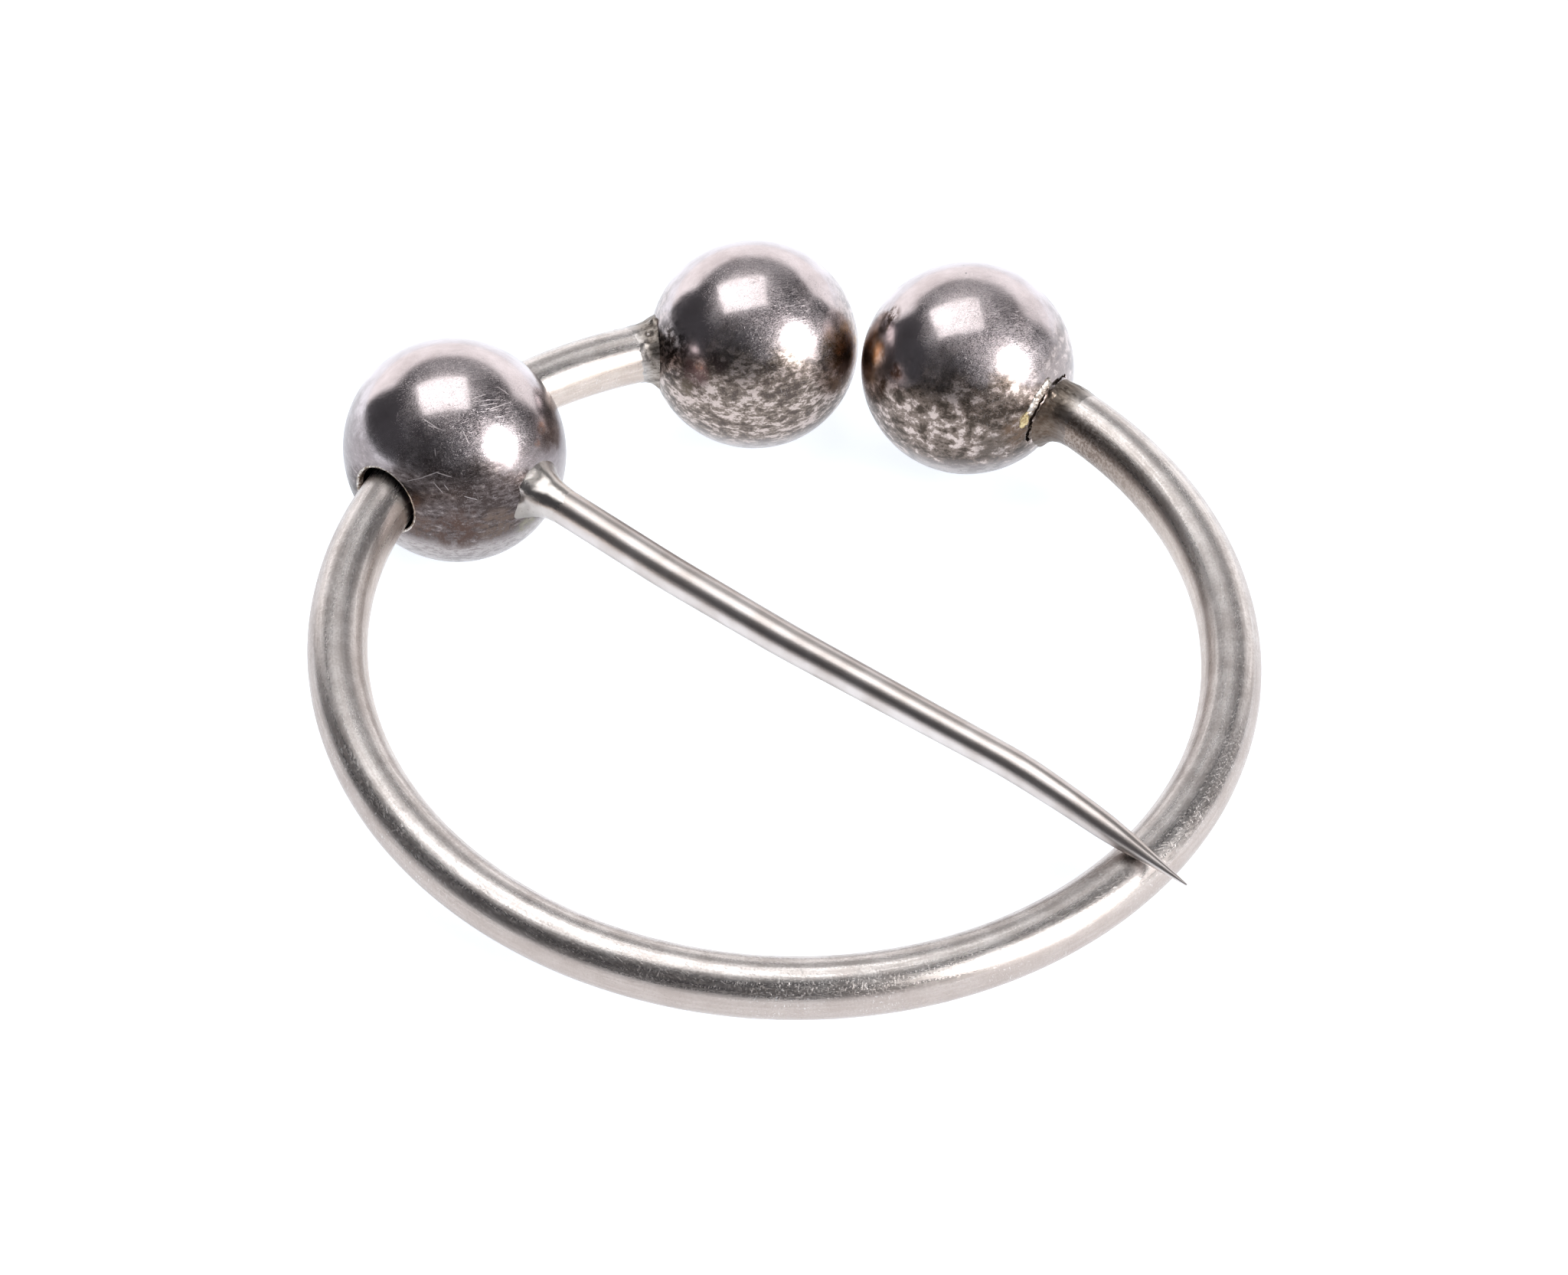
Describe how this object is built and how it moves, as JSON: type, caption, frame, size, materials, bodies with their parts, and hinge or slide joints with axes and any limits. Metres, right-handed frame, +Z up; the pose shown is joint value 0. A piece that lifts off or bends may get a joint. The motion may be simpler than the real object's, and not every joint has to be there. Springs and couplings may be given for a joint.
{
  "type": "open-ring silver brooch",
  "caption": "Open hoop of silver wire with a hollow ball soldered on each end, and a sliding ball threaded on the hoop that carries a long bent pin.",
  "frame": {"origin": "middle of the brooch's outline seen from above, on the table that it rests on", "axes": "+Z up from the table, +Y from the low front of the hoop towards the end balls, +X to the right when the sliding ball is on the left"},
  "size_m": [0.064, 0.0688, 0.0157],
  "materials": {
    "hoop_silver": "tarnished silver, drawn wire and raised balls with soft scratches",
    "pin_silver": "tarnished silver ball and a smoother, brighter pin"
  },
  "bodies": {
    "hoop": {"hoop": "hoop_silver"},
    "pin": {"slider_pin": "pin_silver"}
  },
  "joints": [
    {"name": "pin_swing", "type": "hinge", "parent": "hoop", "child": "pin", "pos_m": [-0.02346, 0.01422, 0.00805], "axis": [-0.5784, -0.8156, 0.0187], "range_deg": [0, 354.4]}
  ]
}
